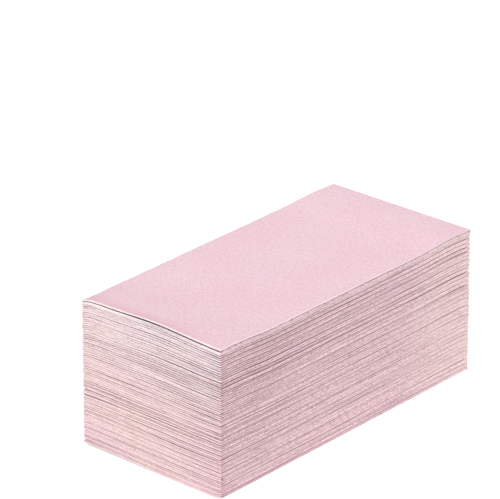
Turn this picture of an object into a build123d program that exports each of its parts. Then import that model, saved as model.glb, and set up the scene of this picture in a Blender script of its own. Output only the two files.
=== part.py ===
from build123d import *
import math
import os

# A stack of soft paper napkins, in millimetres.
# Origin: middle of the underside. +X runs along the napkins to their half fold, +Z is up.
# Each napkin is one sheet, folded in thirds across its width and then in half along its length.

# Sheet, as cut
sheet_length = 432.0
sheet_width = 305.0

# Folds: slits between plies, slit between the two leaves, and how far round a crease turns in degrees
ply_gap = 0.06
mouth = 0.30
crease_sweep = 60.0

# Stack
stack_height = 89.5
napkin_count = 34

# How far a napkin lies off the stack's line, to a side that is a golden turn on from the one below
stray_along = 0.5
stray_across = 0.4
golden_turn = math.pi * (3 - math.sqrt(5))

# Folded napkin: two leaves of three plies
napkin_length = sheet_length / 2
napkin_width = sheet_width / 3
napkin_thickness = stack_height / napkin_count
leaf_thickness = (napkin_thickness - mouth) / 2
ply = (leaf_thickness - 2 * ply_gap) / 3
half_width = napkin_width / 2
slit_end = half_width - ply
open_end = -napkin_length / 2
bend_start = napkin_length / 2 - napkin_thickness / 2

# Heights of the three plies of the upper leaf, above the middle of the napkin
inner_low = mouth / 2
inner_high = inner_low + ply
middle_low = inner_high + ply_gap
middle_high = middle_low + ply
outer_low = middle_high + ply_gap
outer_high = outer_low + ply


def crease(side, low, high):
    """Rounded outer line of a crease on one side of a leaf, from its low corner to its high corner."""
    half_sweep = math.radians(crease_sweep) / 2
    radius = (high - low) / 2 / math.sin(half_sweep)
    depth = radius * (1 - math.cos(half_sweep))
    corner = side * (half_width - depth)
    return ThreePointArc((corner, low), (side * half_width, (low + high) / 2), (corner, high))


def leaf_section():
    """Section across a leaf: three plies in a Z, creased at +Y above and at -Y below."""
    upper = crease(1, middle_low, outer_high)
    lower = crease(-1, inner_low, middle_high)
    lower_slit = Polyline(
        upper @ 0,
        (-slit_end, middle_low),
        (-slit_end, inner_high),
        (half_width, inner_high),
        (half_width, inner_low),
        lower @ 0,
    )
    upper_slit = Polyline(
        lower @ 1,
        (slit_end, middle_high),
        (slit_end, outer_low),
        (-half_width, outer_low),
        (-half_width, outer_high),
        upper @ 1,
    )
    return make_face(upper.edges() + lower_slit.edges() + lower.edges() + upper_slit.edges())


def leaf():
    """Upper leaf of a napkin, from its open cut end to the start of the half fold."""
    section = Plane.YZ.offset(open_end) * leaf_section()
    return extrude(section, bend_start - open_end)


def across(outline, start, end):
    """Solid that carries an outline in X and Z across the napkin, from y = start to y = end."""
    solid = extrude(Plane.XZ * make_face(outline.edges()), (end - start) / 2, both=True)
    return Pos(0, (start + end) / 2, 0) * solid


def bent_slit(low, high):
    """Outline of the slit between two plies where it turns round the half fold in flats of 45 degrees."""
    turn = math.tan(math.radians(22.5))
    corners = [(1, 0), (1, turn), (turn, 1), (0, 1)]
    points = [(bend_start + high * x, high * z) for x, z in corners]
    points += [(bend_start + low * x, low * z) for x, z in reversed(corners)]
    return Polyline(*points, close=True)


def half_fold():
    """The bend at +X, half round outside, with the plies of the leaf lying round one another."""
    arc = ThreePointArc(
        (bend_start, -outer_high),
        (bend_start + outer_high, 0),
        (bend_start, outer_high),
    )
    nose = across(arc + Line(arc @ 1, arc @ 0), -half_width, half_width)
    for low, high, start, end in (
        (middle_high, outer_low, -half_width, slit_end),
        (inner_high, middle_low, -slit_end, half_width),
    ):
        upper = across(bent_slit(low, high), start, end)
        nose -= upper + mirror(upper, Plane.XY)
    return nose - Pos(bend_start, 0, 0) * Box(mouth, napkin_width, mouth)


def napkin():
    """One folded napkin, lying on z = 0."""
    upper = leaf()
    lower = mirror(upper, Plane.XY)
    return Pos(0, 0, napkin_thickness / 2) * (half_fold() + upper + lower)


def stack():
    """Every napkin in its place, from the bottom up."""
    one = napkin()
    placed = {}
    for number in range(napkin_count):
        turn = golden_turn * number
        height = napkin_thickness * number
        place = Pos(stray_along * math.cos(turn), stray_across * math.sin(turn), height)
        placed[f"napkin_{number + 1:02d}"] = place * one
    return placed


os.makedirs("parts", exist_ok=True)
for name, solid in stack().items():
    export_step(solid, f"parts/{name}.step")
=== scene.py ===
"""The look of a stack of soft paper napkins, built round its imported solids."""

import math

import bpy
import numpy as np
from bpy.props import FloatProperty, FloatVectorProperty, IntProperty, PointerProperty
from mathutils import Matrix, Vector


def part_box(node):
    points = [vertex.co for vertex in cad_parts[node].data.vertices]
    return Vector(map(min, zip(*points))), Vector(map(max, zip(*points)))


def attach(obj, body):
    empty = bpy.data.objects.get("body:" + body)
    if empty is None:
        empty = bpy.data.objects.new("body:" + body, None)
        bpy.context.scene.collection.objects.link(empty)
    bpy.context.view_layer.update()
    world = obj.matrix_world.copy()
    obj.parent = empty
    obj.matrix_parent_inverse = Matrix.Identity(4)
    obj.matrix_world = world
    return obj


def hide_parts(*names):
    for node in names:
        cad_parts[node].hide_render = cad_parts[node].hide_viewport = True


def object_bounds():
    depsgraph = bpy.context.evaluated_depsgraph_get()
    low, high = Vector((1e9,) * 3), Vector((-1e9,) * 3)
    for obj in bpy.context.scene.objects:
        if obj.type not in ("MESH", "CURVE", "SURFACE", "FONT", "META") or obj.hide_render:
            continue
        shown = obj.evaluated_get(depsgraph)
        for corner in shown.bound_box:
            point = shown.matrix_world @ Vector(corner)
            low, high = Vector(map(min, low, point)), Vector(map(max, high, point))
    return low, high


bl_info = {
    "name": "Stack of paper napkins",
    "version": (1, 0, 0),
    "blender": (4, 5, 0),
    "location": "View3D > Sidebar > Napkins",
    "description": "Folds soft embossed napkins and lays them in a stack",
    "category": "Object",
}

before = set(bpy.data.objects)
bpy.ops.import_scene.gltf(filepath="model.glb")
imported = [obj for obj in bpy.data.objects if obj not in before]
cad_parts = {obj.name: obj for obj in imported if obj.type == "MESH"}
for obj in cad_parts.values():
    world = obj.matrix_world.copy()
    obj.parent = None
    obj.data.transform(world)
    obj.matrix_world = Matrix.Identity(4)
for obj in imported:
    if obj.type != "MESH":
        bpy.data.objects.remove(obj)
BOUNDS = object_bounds()
NODES = sorted(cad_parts)
LAST = len(NODES) - 1
MM = 0.001

# A napkin is two leaves of three plies, and each ply has a lower and an upper face
LEAF_PLIES = 3
LEAVES = 2 * len(NODES)
LEAF_FACES = 2 * LEAF_PLIES
FACES = 2 * LEAF_FACES

# Flat sheet, before it is folded
SHEET = (0.305, 0.432)

# Node boxes, so that each sheet lies where its solid does
BOXES = [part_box(node) for node in NODES]
LENGTH = BOXES[0][1].x - BOXES[0][0].x
WIDTH = BOXES[0][1].y - BOXES[0][0].y
HEIGHT = BOUNDS[1].z - BOUNDS[0].z
PITCH = HEIGHT / len(NODES)

# Bands of the flat sheet, each over which a tone, a painted shade or a painted highlight comes in
# or goes out: distances from a cut, a crease or the half fold
CUT_BAND = (0.1 * MM, 0.4 * MM)
TOP_HIGHLIGHT_BAND = (0.1 * MM, 0.65 * MM)
CREASE_BAND = (0.8 * MM, 1.4 * MM)
CREASE_ENDS = (1.0 * MM, 4.0 * MM)
PAST_CREASE = (0.25 * MM, 0.65 * MM)
PAST_FOLD = (3.0 * MM, 6.0 * MM)
SHADE_START = (0.1 * MM, 0.45 * MM)
CREASE_SHADE_START = (0.8 * MM, 1.2 * MM)
SHADE_END = (2.0 * MM, 6.0 * MM)
PINK_SHADE_BAND = (1.5 * MM, 4.5 * MM)
TOP_SHADE_BAND = (1.0 * MM, 10.0 * MM)
TOP_SHADE_SIDES = (4.0 * MM, 30.0 * MM)

# Grain of each noise, in grains a metre: tones of the face, casts, fibres and streaks
CLOUD_GRAIN = 26.0
CAST_GRAIN = 22.0
WANDER_GRAIN = 120.0
WOBBLE_GRAIN = 650.0
FIBRE_GRAIN = 750.0
CUT_GRAIN = 700.0
RUB_GRAIN = 1900.0
STREAK_GRAIN = 1600.0

# Contrasts: values of a noise at which its first and its second tone are full
SPECKLE_BAND = (0.4, 0.6)
CAST_BAND = (0.47, 0.64)
RUB_BAND = (0.37, 0.53)
FIBRE_BAND = (0.38, 0.56)

# Stretches of the stack over which a cast of the fibres, or the painted light at the top of the
# open end, comes in or goes out
FAR_END = (0.22 * LENGTH, 0.48 * LENGTH)
FAR_CUTS = (0.25 * LENGTH, 0.5 * LENGTH)
FAR_SIDE = (0.0, 0.5 * WIDTH)
TOP_LIGHT_SIDE = (0.1 * WIDTH, 0.5 * WIDTH)
OPEN_END = (2 * MM - LENGTH / 2, 12 * MM - LENGTH / 2)
LOWEST = (0.0, 0.3 * HEIGHT)
HIGHEST = (0.4 * HEIGHT, 0.95 * HEIGHT)

# How far each tone covers the paper where it is full: the painted shade in the slits, the painted
# pink shade by the cut ends, the rubbed creases, and the painted shade beside the top's curl
SHADED, PINK_SHADED, RUBBED, TOP_SHADED = 0.88, 0.8, 0.8, 0.7

# Shares of the weave, the fibres and the clouds in the speckle of a face
WEAVE_SHARE, FIBRE_SHARE, CLOUD_SHARE = 0.35, 0.55, 0.1

# Linen emboss: grains and stretch of a slub, how far threads wander, and the height of both
SLUB_GRAINS, SLUB_STRETCH, WANDER = 0.6, 0.4, 5.0
THREAD_HEIGHT, SLUB_HEIGHT = 0.45, 0.5

# Casts of cut fibres: how much warmer far ones are, how much less the lowest, how much painted
# light the top of the open end gets, how much less at its far side, and how much lighter a rubbed
# crease is far away
FAR_WARMTH, LOW_WARMTH, TOP_LIGHT_SHARE, TOP_LIGHT_LOSS, FAR_LIGHT = 0.12, 0.1, 0.9, 0.5, 0.35


class PaperSettings(bpy.types.PropertyGroup):
    """Colour and emboss of the paper, and the colours of its painted shade and painted light."""

    colour: FloatVectorProperty(
        name="Paper",
        description="Colour of the paper's face",
        subtype="COLOR",
        default=(0.95, 0.63, 0.698),
    )
    edge_colour: FloatVectorProperty(
        name="Cut edge",
        description="Colour of the fibres at a cut edge",
        subtype="COLOR",
        default=(0.95, 0.73, 0.765),
    )
    warm_colour: FloatVectorProperty(
        name="Warm edge",
        description="Warmer cast of some cut edges",
        subtype="COLOR",
        default=(0.965, 0.78, 0.745),
    )
    # Painted light: lighter cut fibres at the top of the open end, and a painted highlight on the
    # topmost ply's cut edges and rims
    top_light_colour: FloatVectorProperty(
        name="Pale edge",
        description="Loose fibres at the top of the stack",
        subtype="COLOR",
        default=(1.0, 0.92, 0.92),
    )
    dull_colour: FloatVectorProperty(
        name="Dull streaks",
        description="Streaks between the fibres",
        subtype="COLOR",
        default=(0.76, 0.53, 0.57),
    )
    # Painted shade inside the slits of the pile's edge
    shade_colour: FloatVectorProperty(
        name="Inner shade",
        description="Duller tone inside a slit",
        subtype="COLOR",
        default=(0.30, 0.17, 0.195),
    )
    # Painted shade, deep pink: on the creases by the cut ends, and beside the curl of the top's
    # open end
    pink_shade_colour: FloatVectorProperty(
        name="Blush",
        description="Deeper tone where the open end curls up",
        subtype="COLOR",
        default=(0.93, 0.55, 0.63),
    )
    thread: FloatProperty(
        name="Thread",
        description="Spacing of the linen emboss",
        unit="LENGTH",
        default=1.05 * MM,
    )
    emboss: FloatProperty(
        name="Emboss",
        description="Depth of the linen emboss",
        unit="LENGTH",
        default=0.3 * MM,
    )


class FoldSettings(bpy.types.PropertyGroup):
    """Slits between plies, leaves and napkins, and how evenly the sheets are folded."""

    slit: FloatProperty(
        name="Slit", description="Slit between two plies", unit="LENGTH", default=0.035 * MM
    )
    mouth: FloatProperty(
        name="Mouth", description="Slit between the two leaves", unit="LENGTH", default=0.42 * MM
    )
    rest: FloatProperty(
        name="Rest", description="Slit between two napkins", unit="LENGTH", default=0.40 * MM
    )
    gape: FloatProperty(
        name="Gape",
        description="How far the topmost leaf stands open",
        unit="LENGTH",
        default=0.36 * MM,
    )
    spread: FloatProperty(
        name="Spread", description="How much a slit's width differs along it", default=0.24
    )
    drift: FloatProperty(
        name="Drift", description="Drift of a leaf from its level", unit="LENGTH", default=0.09 * MM
    )
    crease: FloatProperty(
        name="Crease", description="Depth of a crease's round", unit="LENGTH", default=0.62 * MM
    )
    lip: FloatProperty(
        name="Lip",
        description="Overhang of the topmost and the lowest ply over the slits beside them",
        unit="LENGTH",
        default=0.6 * MM,
    )
    askew: FloatProperty(
        name="Askew", description="How far leaves lie askew", unit="LENGTH", default=0.18 * MM
    )
    settle: FloatProperty(
        name="Settle", description="Share of its stray that a napkin keeps", default=0.2
    )
    fray: FloatProperty(
        name="Fray", description="Unevenness of a cut edge", unit="LENGTH", default=0.09 * MM
    )
    seed: IntProperty(name="Seed", description="Which chance pattern is used", default=7)


class ShapeSettings(bpy.types.PropertyGroup):
    """How the soft stack sinks, curls and lifts."""

    sag: FloatProperty(
        name="Sag", description="Sinking of the top's middle", unit="LENGTH", default=1.2 * MM
    )
    curl: FloatProperty(
        name="Curl", description="Curl of the open ends", unit="LENGTH", default=2.4 * MM
    )
    droop: FloatProperty(
        name="Droop", description="Droop of the creased far corner", unit="LENGTH", default=1.9 * MM
    )
    toe: FloatProperty(
        name="Toe", description="Lift of the lowest near corner", unit="LENGTH", default=1.0 * MM
    )
    lift: FloatProperty(
        name="Lift", description="Lift of the lowest far corner", unit="LENGTH", default=2.0 * MM
    )


class StageSettings(bpy.types.PropertyGroup):
    """Camera and light."""

    azimuth: FloatProperty(
        name="Azimuth",
        description="Turn of the camera",
        unit="ROTATION",
        default=math.radians(-49.127),
    )
    elevation: FloatProperty(
        name="Elevation",
        description="Height of the camera",
        unit="ROTATION",
        default=math.radians(24.02),
    )
    distance: FloatProperty(
        name="Distance", description="Camera to the middle", unit="LENGTH", default=2.380
    )
    sideways: FloatProperty(
        name="Sideways", description="Aim to the right", unit="LENGTH", default=-16.688 * MM
    )
    upward: FloatProperty(
        name="Upward", description="Aim above the floor", unit="LENGTH", default=89.105 * MM
    )
    lens: FloatProperty(name="Lens", description="Focal length in millimetres", default=302.4)
    sky: FloatProperty(name="Sky", description="Even light from all round", default=0.61)
    lamp: FloatProperty(name="Lamp", description="Light from the left", default=2.1)


class Value:
    """A shader socket that can stand in Python sums."""

    def __init__(self, shader, socket):
        self.shader = shader
        self.socket = socket

    def maths(self, operation, *others):
        values = dict(enumerate([self, *others]))
        node = self.shader.node("ShaderNodeMath", {"operation": operation}, values)
        return Value(self.shader, node.outputs[0])

    def __add__(self, other):
        return self.maths("ADD", other)

    def __radd__(self, other):
        return self + other

    def __mul__(self, other):
        return self.maths("MULTIPLY", other)

    def __rmul__(self, other):
        return self * other

    def __sub__(self, other):
        return self.maths("SUBTRACT", other)

    def __rsub__(self, other):
        return self * -1 + other

    def sine(self):
        return self.maths("SINE")

    def least(self, other):
        return self.maths("MINIMUM", other)

    def most(self, other):
        return self.maths("MAXIMUM", other)

    def size(self):
        return self.maths("ABSOLUTE")

    def step(self, low, high):
        """0 at low or less, 1 at high or more, and even between."""
        inputs = {"Value": self, "From Min": low, "From Max": high}
        return self.shader.value(self.shader.node("ShaderNodeMapRange", {}, inputs))


class Shader:
    """A material's or a world's nodes, made one at a time."""

    def __init__(self, tree):
        self.tree = tree
        tree.nodes.clear()

    def node(self, kind, settings=None, inputs=None):
        node = self.tree.nodes.new(kind)
        for key, value in (settings or {}).items():
            setattr(node, key, value)
        for key, value in (inputs or {}).items():
            if isinstance(value, Value):
                self.tree.links.new(value.socket, node.inputs[key])
            else:
                node.inputs[key].default_value = value
        return node

    def value(self, node, output=0):
        return Value(self, node.outputs[output])

    def place(self, kind):
        """Where a point is: UV on the flat sheet's map, or Object on the stack."""
        return self.value(self.node("ShaderNodeTexCoord"), kind)

    def noise(self, vector, grain, detail=2.0, roughness=0.5):
        inputs = {"Vector": vector, "Scale": grain, "Detail": detail, "Roughness": roughness}
        return self.value(self.node("ShaderNodeTexNoise", {}, inputs), "Fac")

    def stretched(self, vector, x, y, z=1.0):
        inputs = {"Vector": vector, "Scale": (x, y, z)}
        return self.value(self.node("ShaderNodeMapping", {}, inputs))

    def parts(self, vector):
        node = self.node("ShaderNodeSeparateXYZ", {}, {0: vector})
        return [self.value(node, number) for number in range(3)]

    def mixed(self, factor, first, second):
        inputs = {0: factor, 6: first, 7: second}
        return self.value(self.node("ShaderNodeMix", {"data_type": "RGBA"}, inputs), 2)

    def linen(self, place, thread):
        """Height of the linen emboss: two crossing sets of threads, and the slubs along them."""
        across, along, _ = self.parts(place)
        turn, grain = 2 * math.pi / thread, SLUB_GRAINS / thread
        slub = self.noise(self.stretched(place, 1.0, SLUB_STRETCH), grain)
        slub_across = self.noise(self.stretched(place, SLUB_STRETCH, 1.0), grain)
        wander = self.noise(place, WANDER_GRAIN) * WANDER
        warp = (across * turn + wander).sine() * slub
        weft = (along * turn + wander).sine() * slub_across
        return (warp + weft) * THREAD_HEIGHT + slub * SLUB_HEIGHT + slub_across * SLUB_HEIGHT

    def far_end(self, spot):
        """1 at the half fold's end of the stack, where the paper has a warmer cast."""
        return self.parts(spot)[0].step(*FAR_END)

    def fringe_and_top_light(self, spot, paper):
        """Colour of cut fibres: warm here and there and far away, with painted light that makes
        them palest at the top of the open end.
        """
        x, y, z = self.parts(spot)
        far = y.step(*FAR_SIDE).most(x.step(*FAR_CUTS))
        low = 1 - z.step(*LOWEST)
        warmth = self.noise(spot, CAST_GRAIN) + far * FAR_WARMTH - low * LOW_WARMTH
        cast = warmth.step(*CAST_BAND)
        plain = self.mixed(cast, tinted(paper.edge_colour), tinted(paper.warm_colour))
        # Painted light: the cut fibres are paler towards the top of the open end, less so on its
        # far side
        pale = z.step(*HIGHEST) * (1 - x.step(*OPEN_END))
        pale = pale * (TOP_LIGHT_SHARE - y.step(*TOP_LIGHT_SIDE) * TOP_LIGHT_LOSS)
        return self.mixed(pale, plain, tinted(paper.top_light_colour))

    def rubbed(self, spot, paper):
        """Colour of a rubbed crease: dull streaks among lighter fibres, which are warm far away."""
        far = self.far_end(spot)
        streaks = self.noise(self.stretched(spot, 0.45, 0.45), RUB_GRAIN, 1.0, 0.6)
        light = (streaks.step(*RUB_BAND) + far * FAR_LIGHT).least(1.0)
        fibres = self.mixed(far, tinted(paper.edge_colour, 1.08), tinted(paper.warm_colour, 1.1))
        return self.mixed(light, tinted(paper.dull_colour, 0.72), fibres)

    def surface(self, colour, height, depth):
        """Dull paper with a tint and a bump."""
        inputs = {"Strength": 1.0, "Distance": depth, "Height": height}
        bump = self.value(self.node("ShaderNodeBump", {}, inputs))
        inputs = {"Base Color": colour, "Roughness": 0.95, "Normal": bump}
        inputs["Specular IOR Level"] = 0.15
        body = self.node("ShaderNodeBsdfPrincipled", {}, inputs)
        self.node("ShaderNodeOutputMaterial", {}, {"Surface": self.value(body)})


def tinted(colour, factor=1.0):
    """A lighter or darker tone of a colour, as a socket takes it."""
    return (*[min(1.0, part * factor) for part in colour], 1)


def new_material(name, colour):
    """A material with empty nodes."""
    material = bpy.data.materials.new(name)
    material.use_nodes = True
    material.diffuse_color = (*colour, 1)
    return material, Shader(material.node_tree)


def face_material(paper, buried):
    """Soft speckled paper, pale where it is cut and rubbed at its creases.

    A buried face has painted shade inside the slits at the pile's edge and past its creases, and
    painted pink shade on its creases by the cut ends. The topmost one has painted shade beside its
    curl, and a painted highlight on its cut rims.
    """
    name = "buried paper" if buried else "embossed paper"
    material, shader = new_material(name, paper.colour)
    place, spot = shader.place("UV"), shader.place("Object")
    weave = shader.linen(place, paper.thread)
    fibres = shader.noise(place, FIBRE_GRAIN, 2.0, 0.6)
    cloud = shader.noise(place, CLOUD_GRAIN)
    speckle = weave * WEAVE_SHARE + fibres * FIBRE_SHARE + cloud * CLOUD_SHARE
    speckle = speckle.step(*SPECKLE_BAND)
    tint = shader.mixed(speckle, tinted(paper.colour, 0.87), tinted(paper.colour, 1.2))

    # Distances on the flat sheet from its sides, its cut ends and its creases
    across, along, _ = shader.parts(place)
    side = across.least(SHEET[0] - across)
    end = along.least(SHEET[1] - along)
    crease = (side - SHEET[0] / 3).size()
    edge = side.least(end)

    if buried:
        # Painted shade past the cut edges and past the creases, inside the slits of the pile where
        # light hardly reaches
        fold = (along - SHEET[1] / 2).size()
        wobble = (shader.noise(spot, WOBBLE_GRAIN, 1.0) - 0.5) * (1.2 * MM)
        inside = (crease + wobble).step(*PAST_CREASE) * fold.step(*PAST_FOLD)
        by_cut = (edge + wobble).step(*SHADE_START) * (1 - edge.step(*SHADE_END)) * inside
        by_crease = (crease + wobble * 0.4).step(*CREASE_SHADE_START)
        by_crease = by_crease * (1 - crease.step(*SHADE_END)) * inside
        shaded = by_cut.most(by_crease) * SHADED
        tint = shader.mixed(shaded, tint, tinted(paper.shade_colour))
        # Painted pink shade on the creases by the cut ends
        pink_shade = (1 - end.step(*PINK_SHADE_BAND)) * (1 - inside) * PINK_SHADED
        tint = shader.mixed(pink_shade, tint, tinted(paper.pink_shade_colour, 0.85))

    worn = (1 - crease.step(*CREASE_BAND)) * end.step(*CREASE_ENDS) * RUBBED
    tint = shader.mixed(worn, tint, shader.rubbed(spot, paper))

    if buried:
        # Cut rims in the colour of cut fibres, with painted light at the top of the open end
        cut = 1 - edge.step(*CUT_BAND)
        fringe_and_top_light = shader.fringe_and_top_light(spot, paper)
    else:
        # Painted shade beside the curl of the top's open end
        pink_shade = (1 - end.step(*TOP_SHADE_BAND)) * side.step(*TOP_SHADE_SIDES) * TOP_SHADED
        tint = shader.mixed(pink_shade, tint, tinted(paper.pink_shade_colour))
        # A painted highlight on the topmost face's cut rims, fading towards the half fold
        cut = (1 - edge.step(*TOP_HIGHLIGHT_BAND)) * (1 - shader.far_end(spot))
        fringe_and_top_light = tinted(paper.top_light_colour)
    shader.surface(shader.mixed(cut, tint, fringe_and_top_light), weave + fibres * 0.2, paper.emboss)
    return material


def edge_material(paper, topmost):
    """Loose fibres of a cut edge, streaky along the ply, with painted light towards the top of the
    open end, and a painted highlight all over the topmost one.
    """
    name = "topmost cut edge" if topmost else "cut paper edge"
    material, shader = new_material(name, paper.edge_colour)
    spot = shader.place("Object")
    fibres = shader.noise(shader.stretched(spot, 1.0, 1.0, 2.5), CUT_GRAIN, 3.0, 0.6)
    streaks = shader.noise(shader.stretched(spot, 0.12, 0.12), STREAK_GRAIN, 2.0, 0.6)
    light = (fibres * 0.65 + streaks * 0.35).step(*FIBRE_BAND)
    if topmost:
        # Painted highlight: both tones of the topmost cut edge are lighter
        dull, fringe_and_top_light = tinted(paper.edge_colour, 1.05), tinted(paper.top_light_colour, 1.04)
    else:
        dull, fringe_and_top_light = tinted(paper.dull_colour, 1.08), shader.fringe_and_top_light(spot, paper)
    shader.surface(shader.mixed(light, dull, fringe_and_top_light), fibres, paper.emboss * 1.5)
    return material


def smooth(values, low, high):
    """Even step from 0 at low to 1 at high."""
    part = np.clip((values - low) / (high - low), 0, 1)
    return part * part * (3 - 2 * part)


def hump(values, middle, reach):
    """Rounded hump of height 1."""
    return np.exp(-(((values - middle) / reach) ** 2))


def fading(values, reach):
    """Fall from 1 at 0, to about a third at the reach."""
    return np.exp(-values / reach)


def grown(line, share):
    """The line's first number at a share of 0, and both of its numbers together at a share of 1."""
    start, growth = line
    return start + growth * share


class Layers:
    """Heights of every ply face of the whole stack, on a grid over its plan.

    u runs from 0 at the open end to 1 at the half fold, and v from 0 at the near long side to 1.
    """

    # Lines of the grid: close ones from the open end and from each side, then even ones
    BY_END = np.array([-1, 0, 0.6, 1.4, 2.4, 3.8, 5.5, 7.5, 10, 13, 17, 21]) * MM
    BY_SIDE = np.array([-1, 0, 0.6, 1.4, 2.4, 3.8, 5.5, 7.5, 10, 14]) * MM
    EVEN_FROM, STRIDE = 26 * MM, 5 * MM
    MIDDLE_FROM, MIDDLE_LINES = 18 * MM, 15

    # Lengths of the waves in a chance field, and the size of each
    WAVES, WAVE_SIZE = (0.05, 0.09, 0.16, 0.3), 0.7

    # How fast the lifts of the lowest napkin fade up the stack, and waves in the drift of a leaf
    FLOOR_FADE, TOE_FADE, DRIFT_WAVES = 1.5, 12, 0.6

    # Slits between leaves: chance in their widths, share of the bold ones and how bold they are
    CHANCE, BOLD_SHARE, BOLD = 0.14, 0.07, 1.35

    # How much wider and how much calmer they are near the top, each with its reach in leaves
    WIDER, WIDER_REACH, CALMER, CALMER_REACH = 0.3, 3, 0.7, 4

    # Their openings at the open end, its near corner and the near side: each at the floor, and
    # what it gains up to the top
    END_OPENING, CORNER_OPENING, SIDE_OPENING = (0.84, -0.3), (0.12, 0.85), (0.45, 1.45)

    # Their openings along the near side: each at the open end, and what it gains to the half fold
    LEAF_SIDE, NAPKIN_SIDE = (0.75, -0.45), (1.15, -0.25)

    # Reaches of the openings and of the gape, and how fast the corner's one fades across
    CORNER_REACH, SIDE_REACH, GAPE_REACH, CORNER_FADE = 110 * MM, 20 * MM, 30 * MM, 1.4

    # Share of the gape at the open end, and its least and what it gains along that end
    GAPE_SHARE, GAPE_ALONG = 0.4, (0.15, 0.85)

    # Half widths: the most, and the most of the second slit from the top
    WIDEST, CLOSE = 0.36 * MM, 0.14 * MM

    # Slits between plies: chance in their widths, and the share of a leaf that they may take
    PLY_CHANCE, SPARE = 0.5, 0.6

    # Rise of the top at its open end, and its fall at the half fold
    RISE, FALL = 0.5 * MM, 0.8 * MM

    def __init__(self, fold, shape):
        low, high = BOUNDS
        even = np.arange(low.x + self.EVEN_FROM, high.x + self.STRIDE, self.STRIDE)
        self.x = np.concatenate([low.x + self.BY_END, even])
        middle = np.linspace(low.y + self.MIDDLE_FROM, high.y - self.MIDDLE_FROM, self.MIDDLE_LINES)
        self.y = np.concatenate([low.y + self.BY_SIDE, middle, high.y - self.BY_SIDE[::-1]])
        self.chance = np.random.default_rng(fold.seed)
        self.plan = np.meshgrid(self.x, self.y, indexing="ij")
        self.u = (self.plan[0] - low.x) / (high.x - low.x)
        self.v = (self.plan[1] - low.y) / (high.y - low.y)
        self.from_end = np.maximum(self.plan[0] - low.x, 0)
        self.from_side = self.v * WIDTH
        levels, halves = self.levels(fold, shape), self.halves(fold)
        self.heights = np.zeros((*self.u.shape, LEAVES * LEAF_FACES))
        for leaf in range(LEAVES):
            self.fill(leaf, fold, levels[leaf] + halves[leaf], levels[leaf + 1] - halves[leaf + 1])

    def waves(self):
        """Long smooth chance field of about unit size."""
        along, across = self.plan
        field = np.zeros(along.shape)
        for length in self.WAVES:
            turn, start = self.chance.uniform(0, 2 * math.pi, 2)
            path = along * math.cos(turn) + across * math.sin(turn)
            field += np.sin(2 * math.pi * path / length + start) * self.WAVE_SIZE
        return field

    def levels(self, fold, shape):
        """Levels between leaves, from the floor to the top of the stack."""
        floor, toe = self.under(shape), self.toe(shape)
        top, curled = self.over(shape), self.curled(shape)
        levels = []
        for level in range(LEAVES + 1):
            share = level / LEAVES
            drift = fold.drift * (self.chance.normal() + self.DRIFT_WAVES * self.waves())
            drift = drift * (0 < level < LEAVES)
            height = (HEIGHT + top + curled * share) * share
            height = height + floor * (1 - share) ** self.FLOOR_FADE
            height = height + toe * (1 - share) ** self.TOE_FADE
            levels.append(height + drift)
        return levels

    def halves(self, fold):
        """Half widths of the slits between leaves, none at the floor and the top."""
        corner = np.maximum(1 - self.v, 0) ** self.CORNER_FADE
        corner = corner * fading(self.from_end, self.CORNER_REACH)
        by_side = fading(self.from_side, self.SIDE_REACH)
        halves = [0 * self.u]
        for level in range(1, LEAVES):
            between_leaves = level % 2
            width = fold.mouth if between_leaves else fold.rest
            width *= math.exp(self.chance.normal(0, self.CHANCE))
            if self.chance.random() < self.BOLD_SHARE:
                width *= self.BOLD
            share, below_top = level / LEAVES, LEAVES - level
            width *= 1 + self.WIDER * fading(below_top, self.WIDER_REACH)
            along = grown(self.LEAF_SIDE if between_leaves else self.NAPKIN_SIDE, self.u)
            side = grown(self.SIDE_OPENING, share) * along * by_side
            end = grown(self.END_OPENING, share) + grown(self.CORNER_OPENING, share) * corner
            calm = 1 - self.CALMER * fading(below_top, self.CALMER_REACH)
            field = np.exp(fold.spread * calm * self.waves())
            halves.append(np.minimum(0.5 * width * field * np.maximum(end, side), self.WIDEST))
        by_end = fading(self.from_end, self.GAPE_REACH) * smooth(self.from_side, -1 * MM, 5 * MM)
        along = grown(self.GAPE_ALONG, hump(self.v, 0.05, 0.2))
        gape = self.GAPE_SHARE * fold.gape * by_end * along
        halves[-1] = np.minimum(halves[-1] + gape, self.WIDEST)
        halves[-2] = np.minimum(halves[-2], self.CLOSE)
        return halves + [0 * self.u]

    def fill(self, leaf, fold, low, high):
        """Puts the three plies of a leaf between its lowest and highest face."""
        slits = []
        for _ in range(LEAF_PLIES - 1):
            width = fold.slit * math.exp(self.chance.normal(0, self.PLY_CHANCE))
            slits.append(width * np.exp(self.PLY_CHANCE * self.waves()))
        if leaf == LEAVES - 1:
            by_fold = smooth(self.u, 0.45, 0.8) * fading(self.from_side, 12 * MM)
            slits[-1] = slits[-1] + 0.9 * fold.gape * by_fold
        crowded = np.maximum(sum(slits) / (self.SPARE * (high - low)), 1)
        slits = [slit / crowded for slit in slits]
        ply = (high - low - sum(slits)) / LEAF_PLIES
        height = low
        for number in range(LEAF_PLIES):
            face = leaf * LEAF_FACES + 2 * number
            self.heights[..., face] = height
            self.heights[..., face + 1] = height + ply
            if number + 1 < LEAF_PLIES:
                height = height + ply + slits[number]

    def under(self, shape):
        """Lift of the lowest napkin off the floor at its open end, most at the far corner."""
        return shape.lift * smooth(self.v, 0.15, 0.9) * hump(self.from_end, 0, 45 * MM)

    def toe(self, shape):
        """Lift of the lowest napkin's near corner."""
        return shape.toe * hump(self.from_end, 0, 3 * MM) * hump(self.from_side, 0, 3 * MM)

    def over(self, shape):
        """Rise and fall of the top face from level, apart from its curled end."""
        top = self.RISE * hump(self.u, 0, 0.09)
        sunk = smooth(self.u, 0.08, 0.2) * (1 - smooth(self.u, 0.76, 0.92))
        top -= shape.sag * sunk * (1 - 0.3 * self.v)
        return top - self.FALL * smooth(self.u, 0.93, 1.0)

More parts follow.
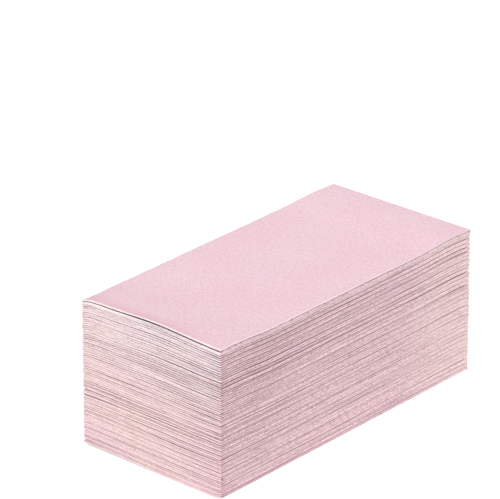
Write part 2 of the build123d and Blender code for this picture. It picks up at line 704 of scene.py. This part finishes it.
    def curled(self, shape):
        """Curl of the open end, highest across its middle and least at its corners."""
        arch = smooth(self.v, 0.0, 0.5) * (1 - 0.5 * smooth(self.v, 0.45, 0.85))
        curl = shape.curl * arch * fading(self.from_end, 8 * MM)
        creased = hump(self.from_side, WIDTH, 5 * MM) * (1 - smooth(self.u, 0.0, 0.2))
        return curl - shape.droop * creased

    def at(self, x, y, level):
        """Height of numbered ply faces at plan places; x is a column, y and level are rows."""
        fx = np.interp(x, self.x, np.arange(len(self.x)))
        fy = np.interp(y, self.y, np.arange(len(self.y)))
        ix = np.clip(fx.astype(int), 0, len(self.x) - 2)
        iy = np.clip(fy.astype(int), 0, len(self.y) - 2)
        px, py = (fx - ix)[:, None], (fy - iy)[None, :]
        ix, iy = ix[:, None], iy[None, :]
        level = level[None, :]
        grid = self.heights
        near = grid[ix, iy, level] * (1 - px) + grid[ix + 1, iy, level] * px
        far = grid[ix, iy + 1, level] * (1 - px) + grid[ix + 1, iy + 1, level] * px
        return near * (1 - py) + far * py


class Section:
    """The sheet's line across a leaf: three plies in a Z with two creases, on one of its faces."""

    # Distances of its points from each end of a panel, and turns of a crease
    STEPS = np.array([0, 0.4, 1.0, 2.2, 4.2, 7.5, 13, 21, 31, 41]) * MM
    TURN = np.linspace(0, math.pi, 8)[1:-1]

    # Depth of an inner crease's round, and how far it lies inside the outer one
    TIGHT, PLY = 0.08 * MM, PITCH / 8

    # Faces of the three panels and the side on which each panel starts
    OUTER = ((11, -1), (8, 1), (7, -1))
    INNER = ((10, -1), (9, 1), (6, -1))

    def __init__(self, fold, outer, tucks):
        half = WIDTH / 2
        wide = [half - tuck for tuck in tucks[:2]]
        if outer:
            creases = [(wide[0], fold.crease), (wide[1] - self.PLY, self.TIGHT)]
        else:
            creases = [(wide[0] - self.PLY, self.TIGHT), (wide[1], fold.crease)]
        panels = self.OUTER if outer else self.INNER
        lines = []
        for number, (face, side) in enumerate(panels):
            first = half - tucks[2] if number == 0 else self.corner(creases[number - 1])
            last = half - tucks[3] if number == 2 else self.corner(creases[number])
            starts, ends = side * (first - self.STEPS), -side * (last - self.STEPS[::-1])
            run = np.concatenate([starts, [0.0], ends])
            lines.append((run, face, face, np.zeros(len(run))))
            if number < 2:
                reach, depth = creases[number]
                turn = -side * (reach - depth + depth * np.sin(self.TURN))
                lines.append((turn, face, panels[number + 1][0], (1 - np.cos(self.TURN)) / 2))
        self.y = np.concatenate([line[0] for line in lines])
        self.low = np.concatenate([np.full(len(line[0]), line[1]) for line in lines])
        self.high = np.concatenate([np.full(len(line[0]), line[2]) for line in lines])
        self.part = np.concatenate([line[3] for line in lines])

    def corner(self, crease):
        """Where a panel ends and its crease begins."""
        reach, depth = crease
        return reach - depth

    def heights(self, layers, number, x, shift, below):
        """Heights of the line at each x, in the upper leaf or in the lower one."""
        last = FACES - 1
        low, high = (last - self.low, last - self.high) if below else (self.low, self.high)
        base = FACES * number
        first = layers.at(x, self.y + shift, base + low)
        second = layers.at(x, self.y + shift, base + high)
        return first * (1 - self.part) + second * self.part


class Sheet:
    """One napkin: a sheet with both faces and its cut edges, folded in thirds and then in half."""

    # Distances of the first rows from the cut ends, then even rows, and turns of the half fold
    BY_END = np.array([0, 0.4, 1.0, 2.0, 3.4, 5.2, 7.5, 10.5, 14.5, 20]) * MM
    EVEN_FROM, EVEN_ROWS = 26 * MM, 28
    TURN = np.linspace(0, math.pi, 10)[1:-1][:, None]

    # How square the half fold is pressed: 1 is round
    PRESSED = 0.65

    # Tucks of the creases and of the cut sides, at most, in millimetres
    CREASE_TUCK, SIDE_TUCK = 0.14, 0.30

    # Stray of a leaf's cut end along the stack, at most, as a share of how far leaves lie askew
    END_STRAY = 0.8

    # Reach of a lip, and rows of the half fold that have the topmost paper
    LIP_REACH, SHOWN_ROWS = 15 * MM, 3

    # The two leaves of the topmost napkin: the lower one shows past the upper one
    TOPMOST_ENDS = np.array([0.2, -0.4]) * MM

    # Turn between faces that stays sharp
    SHARP = math.radians(50)

    def __init__(self, fold, layers, number, chance):
        low, high = BOXES[number]
        self.number = number
        self.centre = (low.y + high.y) / 2 * fold.settle
        start = -LENGTH / 2 + (low.x + high.x) / 2 * fold.settle
        even = np.linspace(start + self.EVEN_FROM, start + LENGTH - PITCH / 2, self.EVEN_ROWS)
        self.rows = np.concatenate([start + self.BY_END, even])
        tucks = chance.uniform(0, self.CREASE_TUCK, 2).tolist()
        tucks = np.array(tucks + chance.uniform(0, self.SIDE_TUCK, 2).tolist()) * MM
        self.askew = chance.normal() * fold.askew
        self.ends = chance.uniform(-self.END_STRAY, self.END_STRAY, 2) * fold.askew
        if number == LAST:
            self.ends = self.TOPMOST_ENDS
        sections = [Section(fold, outer, tucks) for outer in (True, False)]
        self.face, self.back = [self.points(section, layers) for section in sections]
        self.hang(fold.lip)
        for row in (0, -1):
            ragged = np.abs(chance.normal(0, 1, self.face.shape[1])) * fold.fray
            for points in (self.face, self.back):
                points[row, :, 0] += ragged

    def points(self, section, layers):
        """Points of one face, from the upper leaf's cut end round to the lower one's."""
        rows, centre, turn = self.rows, self.centre, self.TURN
        upper = section.heights(layers, self.number, rows, centre, False)
        lower = section.heights(layers, self.number, rows[::-1], centre, True)
        above, below = upper[-1:], lower[:1]
        inner, columns = FACES * self.number + LEAF_FACES, len(section.y)
        plies = [np.full(columns, ply) for ply in (inner - 1, inner)]
        mouth = [layers.at(rows[-1:], section.y + centre, ply) for ply in plies]
        middle = (mouth[0] + mouth[1]) / 2
        offset = np.where(np.cos(turn) > 0, above - middle, middle - below)
        rise = np.sign(np.cos(turn)) * np.abs(np.cos(turn)) ** self.PRESSED
        bend_z = middle + offset * rise
        bend_x = rows[-1] + (above - below) / 2 * np.sin(turn) ** self.PRESSED
        share = ((rows[-1] - rows) / (rows[-1] - rows[0]))[:, None]
        even = np.zeros((1, columns))
        upper_x, lower_x = [rows[:, None] + share * end + even for end in self.ends]
        x = np.concatenate([upper_x, bend_x, lower_x[::-1]])
        z = np.concatenate([upper, bend_z, lower])
        lean = np.concatenate([share, 0 * turn, -share[::-1]]) * self.askew
        y = section.y[None, :] + centre + lean
        return np.stack([x, y, z], 2)

    def hang(self, lip):
        """Hangs the topmost ply, by its fold, or the lowest ply over the slit beside it."""
        margin = 1 - smooth(Section.STEPS, 0, self.LIP_REACH)
        rows = self.rows
        for points in (self.face, self.back):
            if self.number == LAST:
                by_fold = smooth((rows - rows[0]) / LENGTH, 0.4, 0.8)[:, None]
                points[: len(rows), : len(margin), 1] -= lip * by_fold * margin
            if self.number == 0:
                points[-len(rows) :, : len(margin), 1] += lip * margin

    def corners(self):
        """Corner numbers of both faces and of the strips along the four cut edges."""
        rows, columns = self.face.shape[:2]
        face = np.arange(rows * columns).reshape(rows, columns)
        back = face + rows * columns
        sides = [
            [face[:-1, :-1], face[1:, :-1], face[1:, 1:], face[:-1, 1:]],
            [back[:-1, :-1], back[:-1, 1:], back[1:, 1:], back[1:, :-1]],
        ]
        strips = [
            [face[0, :-1], face[0, 1:], back[0, 1:], back[0, :-1]],
            [face[-1, :-1], back[-1, :-1], back[-1, 1:], face[-1, 1:]],
            [face[:-1, 0], back[:-1, 0], back[1:, 0], face[1:, 0]],
            [face[:-1, -1], face[1:, -1], back[1:, -1], back[:-1, -1]],
        ]
        sides = np.concatenate([np.stack(side, 2).reshape(-1, 4) for side in sides])
        return sides, np.concatenate([np.stack(strip, 1) for strip in strips])

    def slots(self, strips):
        """Material of each face: 0 buried, 1 cut, and 2 on the topmost panel of the stack."""
        rows, columns = self.face.shape[:2]
        shown = np.zeros((2, rows - 1, columns - 1), np.int32)
        if self.number == LAST:
            panel = 2 * len(Section.STEPS) + len(Section.TURN) // 2
            shown[0, : len(self.rows) + self.SHOWN_ROWS, :panel] = 2
        return np.concatenate([shown.ravel(), np.ones(len(strips), np.int32)])

    def spread_flat(self, mesh):
        """Lays the sheet's map out flat, in metres, so that the emboss runs across its folds."""
        steps_down = np.linalg.norm(np.diff(self.face[:, 0], axis=0), axis=1)
        steps_side = np.linalg.norm(np.diff(self.face[0], axis=0), axis=1)
        down = np.concatenate([[0], np.cumsum(steps_down)])
        side = np.concatenate([[0], np.cumsum(steps_side)])
        across, along = np.meshgrid(side * SHEET[0] / side[-1], down * SHEET[1] / down[-1])
        flat = np.stack([across.ravel(), along.ravel()], 1)
        flat = np.concatenate([flat, flat])
        corners = np.zeros(len(mesh.loops), np.int32)
        mesh.loops.foreach_get("vertex_index", corners)
        layer = mesh.uv_layers.new(name="flat sheet")
        layer.data.foreach_set("uv", flat[corners].astype(np.float32).ravel())

    def piece(self, name, materials):
        """The sheet as an object of the scene."""
        sides, strips = self.corners()
        points = np.concatenate([self.face.reshape(-1, 3), self.back.reshape(-1, 3)])
        mesh = bpy.data.meshes.new(name)
        mesh.from_pydata(points.tolist(), [], np.concatenate([sides, strips]).tolist())
        for material in materials:
            mesh.materials.append(material)
        mesh.polygons.foreach_set("material_index", self.slots(strips))
        self.spread_flat(mesh)
        mesh.shade_smooth()
        mesh.set_sharp_from_angle(angle=self.SHARP)
        mesh.validate()
        mesh.update()
        piece = bpy.data.objects.new(name, mesh)
        bpy.context.scene.collection.objects.link(piece)
        return piece


class NAPKINS_OT_fold(bpy.types.Operator):
    """Fold every napkin and lay it on the one below"""

    bl_idname = "napkins.fold"
    bl_label = "Fold and stack the napkins"

    def execute(self, context):
        scene = context.scene
        fold, shape, paper = scene.napkin_fold, scene.napkin_shape, scene.napkin_paper
        layers = Layers(fold, shape)
        buried = [face_material(paper, True), edge_material(paper, False)]
        topmost = [buried[0], edge_material(paper, True), face_material(paper, False)]
        chance = np.random.default_rng(fold.seed + 1)
        for number, node in enumerate(NODES):
            sheet = Sheet(fold, layers, number, chance)
            shown = topmost if number == LAST else buried
            piece = sheet.piece(f"sheet_{number + 1:02d}", shown)
            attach(piece, "root")
            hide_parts(node)
        return {"FINISHED"}


class NAPKINS_OT_stage(bpy.types.Operator):
    """Set the floor, the light and the camera"""

    bl_idname = "napkins.stage"
    bl_label = "Set the stage"

    # Floor: half its side, how far below the stack, its colour and the glow that the camera sees
    REACH, GAP = 4.0, 0.05 * MM
    FLOOR, GLOW = (0.88, 0.87, 0.87), 0.45
    WHITE = (1, 1, 1, 1)

    # Lamp: where it stands from the stack, and how wide it looks
    LAMP = Vector((-0.59, -0.49, 0.64))
    LAMP_ANGLE = math.radians(12)

    # Camera: width of its sensor in millimetres, and how far it sees
    SENSOR, SIGHT = 36, 50

    def direct(self, shader):
        """1 where the camera sees the surface itself, in a mirror or through glass."""
        path = shader.node("ShaderNodeLightPath")
        names = ("Is Camera Ray", "Is Glossy Ray", "Is Transmission Ray")
        rays = [shader.value(path, name) for name in names]
        return rays[0] + rays[1] + rays[2]

    def floor(self):
        mesh = bpy.data.meshes.new("floor")
        level = BOUNDS[0].z - self.GAP
        turns = ((-1, -1), (1, -1), (1, 1), (-1, 1))
        corners = [(x * self.REACH, y * self.REACH, level) for x, y in turns]
        mesh.from_pydata(corners, [], [(0, 1, 2, 3)])
        floor = bpy.data.objects.new("floor", mesh)
        bpy.context.scene.collection.objects.link(floor)
        material, shader = new_material("white floor", self.FLOOR)
        plain = shader.node("ShaderNodeBsdfDiffuse", {}, {"Color": (*self.FLOOR, 1)})
        glow = shader.node("ShaderNodeEmission", {}, {"Color": self.WHITE, "Strength": self.GLOW})
        plain, glow = shader.value(plain), shader.value(glow)
        seen = shader.value(shader.node("ShaderNodeAddShader", {}, {0: plain, 1: glow}))
        inputs = {0: self.direct(shader), 1: plain, 2: seen}
        both = shader.node("ShaderNodeMixShader", {}, inputs)
        shader.node("ShaderNodeOutputMaterial", {}, {"Surface": shader.value(both)})
        mesh.materials.append(material)

    def sky(self, settings):
        world = bpy.data.worlds.new("sky")
        bpy.context.scene.world = world
        world.use_nodes = True
        shader = Shader(world.node_tree)
        lit, seen = [
            shader.node("ShaderNodeBackground", {}, {"Color": self.WHITE, "Strength": strength})
            for strength in (settings.sky, 1.0)
        ]
        inputs = {0: self.direct(shader), 1: shader.value(lit), 2: shader.value(seen)}
        both = shader.node("ShaderNodeMixShader", {}, inputs)
        shader.node("ShaderNodeOutputWorld", {}, {"Surface": shader.value(both)})

    def lamp(self, settings):
        data = bpy.data.lights.new("lamp", "SUN")
        data.energy = settings.lamp
        data.angle = self.LAMP_ANGLE
        lamp = bpy.data.objects.new("lamp", data)
        lamp.rotation_euler = self.LAMP.to_track_quat("Z", "Y").to_euler()
        bpy.context.scene.collection.objects.link(lamp)

    def camera(self, settings):
        turn, tilt = settings.azimuth, settings.elevation
        level = math.cos(tilt)
        back = Vector((math.sin(turn) * level, -math.cos(turn) * level, math.sin(tilt)))
        right = Vector((math.cos(turn), math.sin(turn), 0))
        up = back.cross(right)
        data = bpy.data.cameras.new("camera")
        data.lens = settings.lens
        data.sensor_width = self.SENSOR
        data.clip_end = self.SIGHT
        camera = bpy.data.objects.new("camera", data)
        aim = right * settings.sideways + up * settings.upward
        camera.location = aim + back * settings.distance
        camera.rotation_mode = "QUATERNION"
        camera.rotation_quaternion = back.to_track_quat("Z", "Y")
        bpy.context.scene.collection.objects.link(camera)
        bpy.context.scene.camera = camera

    def execute(self, context):
        scene = context.scene
        settings = scene.napkin_stage
        self.floor()
        self.sky(settings)
        self.lamp(settings)
        self.camera(settings)
        scene.view_settings.view_transform = "Standard"
        return {"FINISHED"}


class NAPKINS_PT_panel(bpy.types.Panel):
    """Lists the steps and their sizes"""

    bl_idname = "NAPKINS_PT_panel"
    bl_label = "Napkins"
    bl_space_type = "VIEW_3D"
    bl_region_type = "UI"
    bl_category = "Napkins"

    def draw(self, context):
        for operator in OPERATORS:
            self.layout.operator(operator.bl_idname)
        for name, group in GROUPS.items():
            box = self.layout.box()
            for key in group.__annotations__:
                box.prop(getattr(context.scene, name), key)


OPERATORS = (NAPKINS_OT_fold, NAPKINS_OT_stage)
GROUPS = {
    "napkin_paper": PaperSettings,
    "napkin_fold": FoldSettings,
    "napkin_shape": ShapeSettings,
    "napkin_stage": StageSettings,
}


def register():
    for group in GROUPS.values():
        bpy.utils.register_class(group)
    for name, group in GROUPS.items():
        setattr(bpy.types.Scene, name, PointerProperty(type=group))
    for shown in (*OPERATORS, NAPKINS_PT_panel):
        bpy.utils.register_class(shown)


def unregister():
    for shown in reversed((*OPERATORS, NAPKINS_PT_panel)):
        bpy.utils.unregister_class(shown)
    for name in GROUPS:
        delattr(bpy.types.Scene, name)
    for group in reversed(GROUPS.values()):
        bpy.utils.unregister_class(group)


def main():
    register()
    bpy.ops.napkins.fold()
    bpy.ops.napkins.stage()


if __name__ == "__main__":
    main()
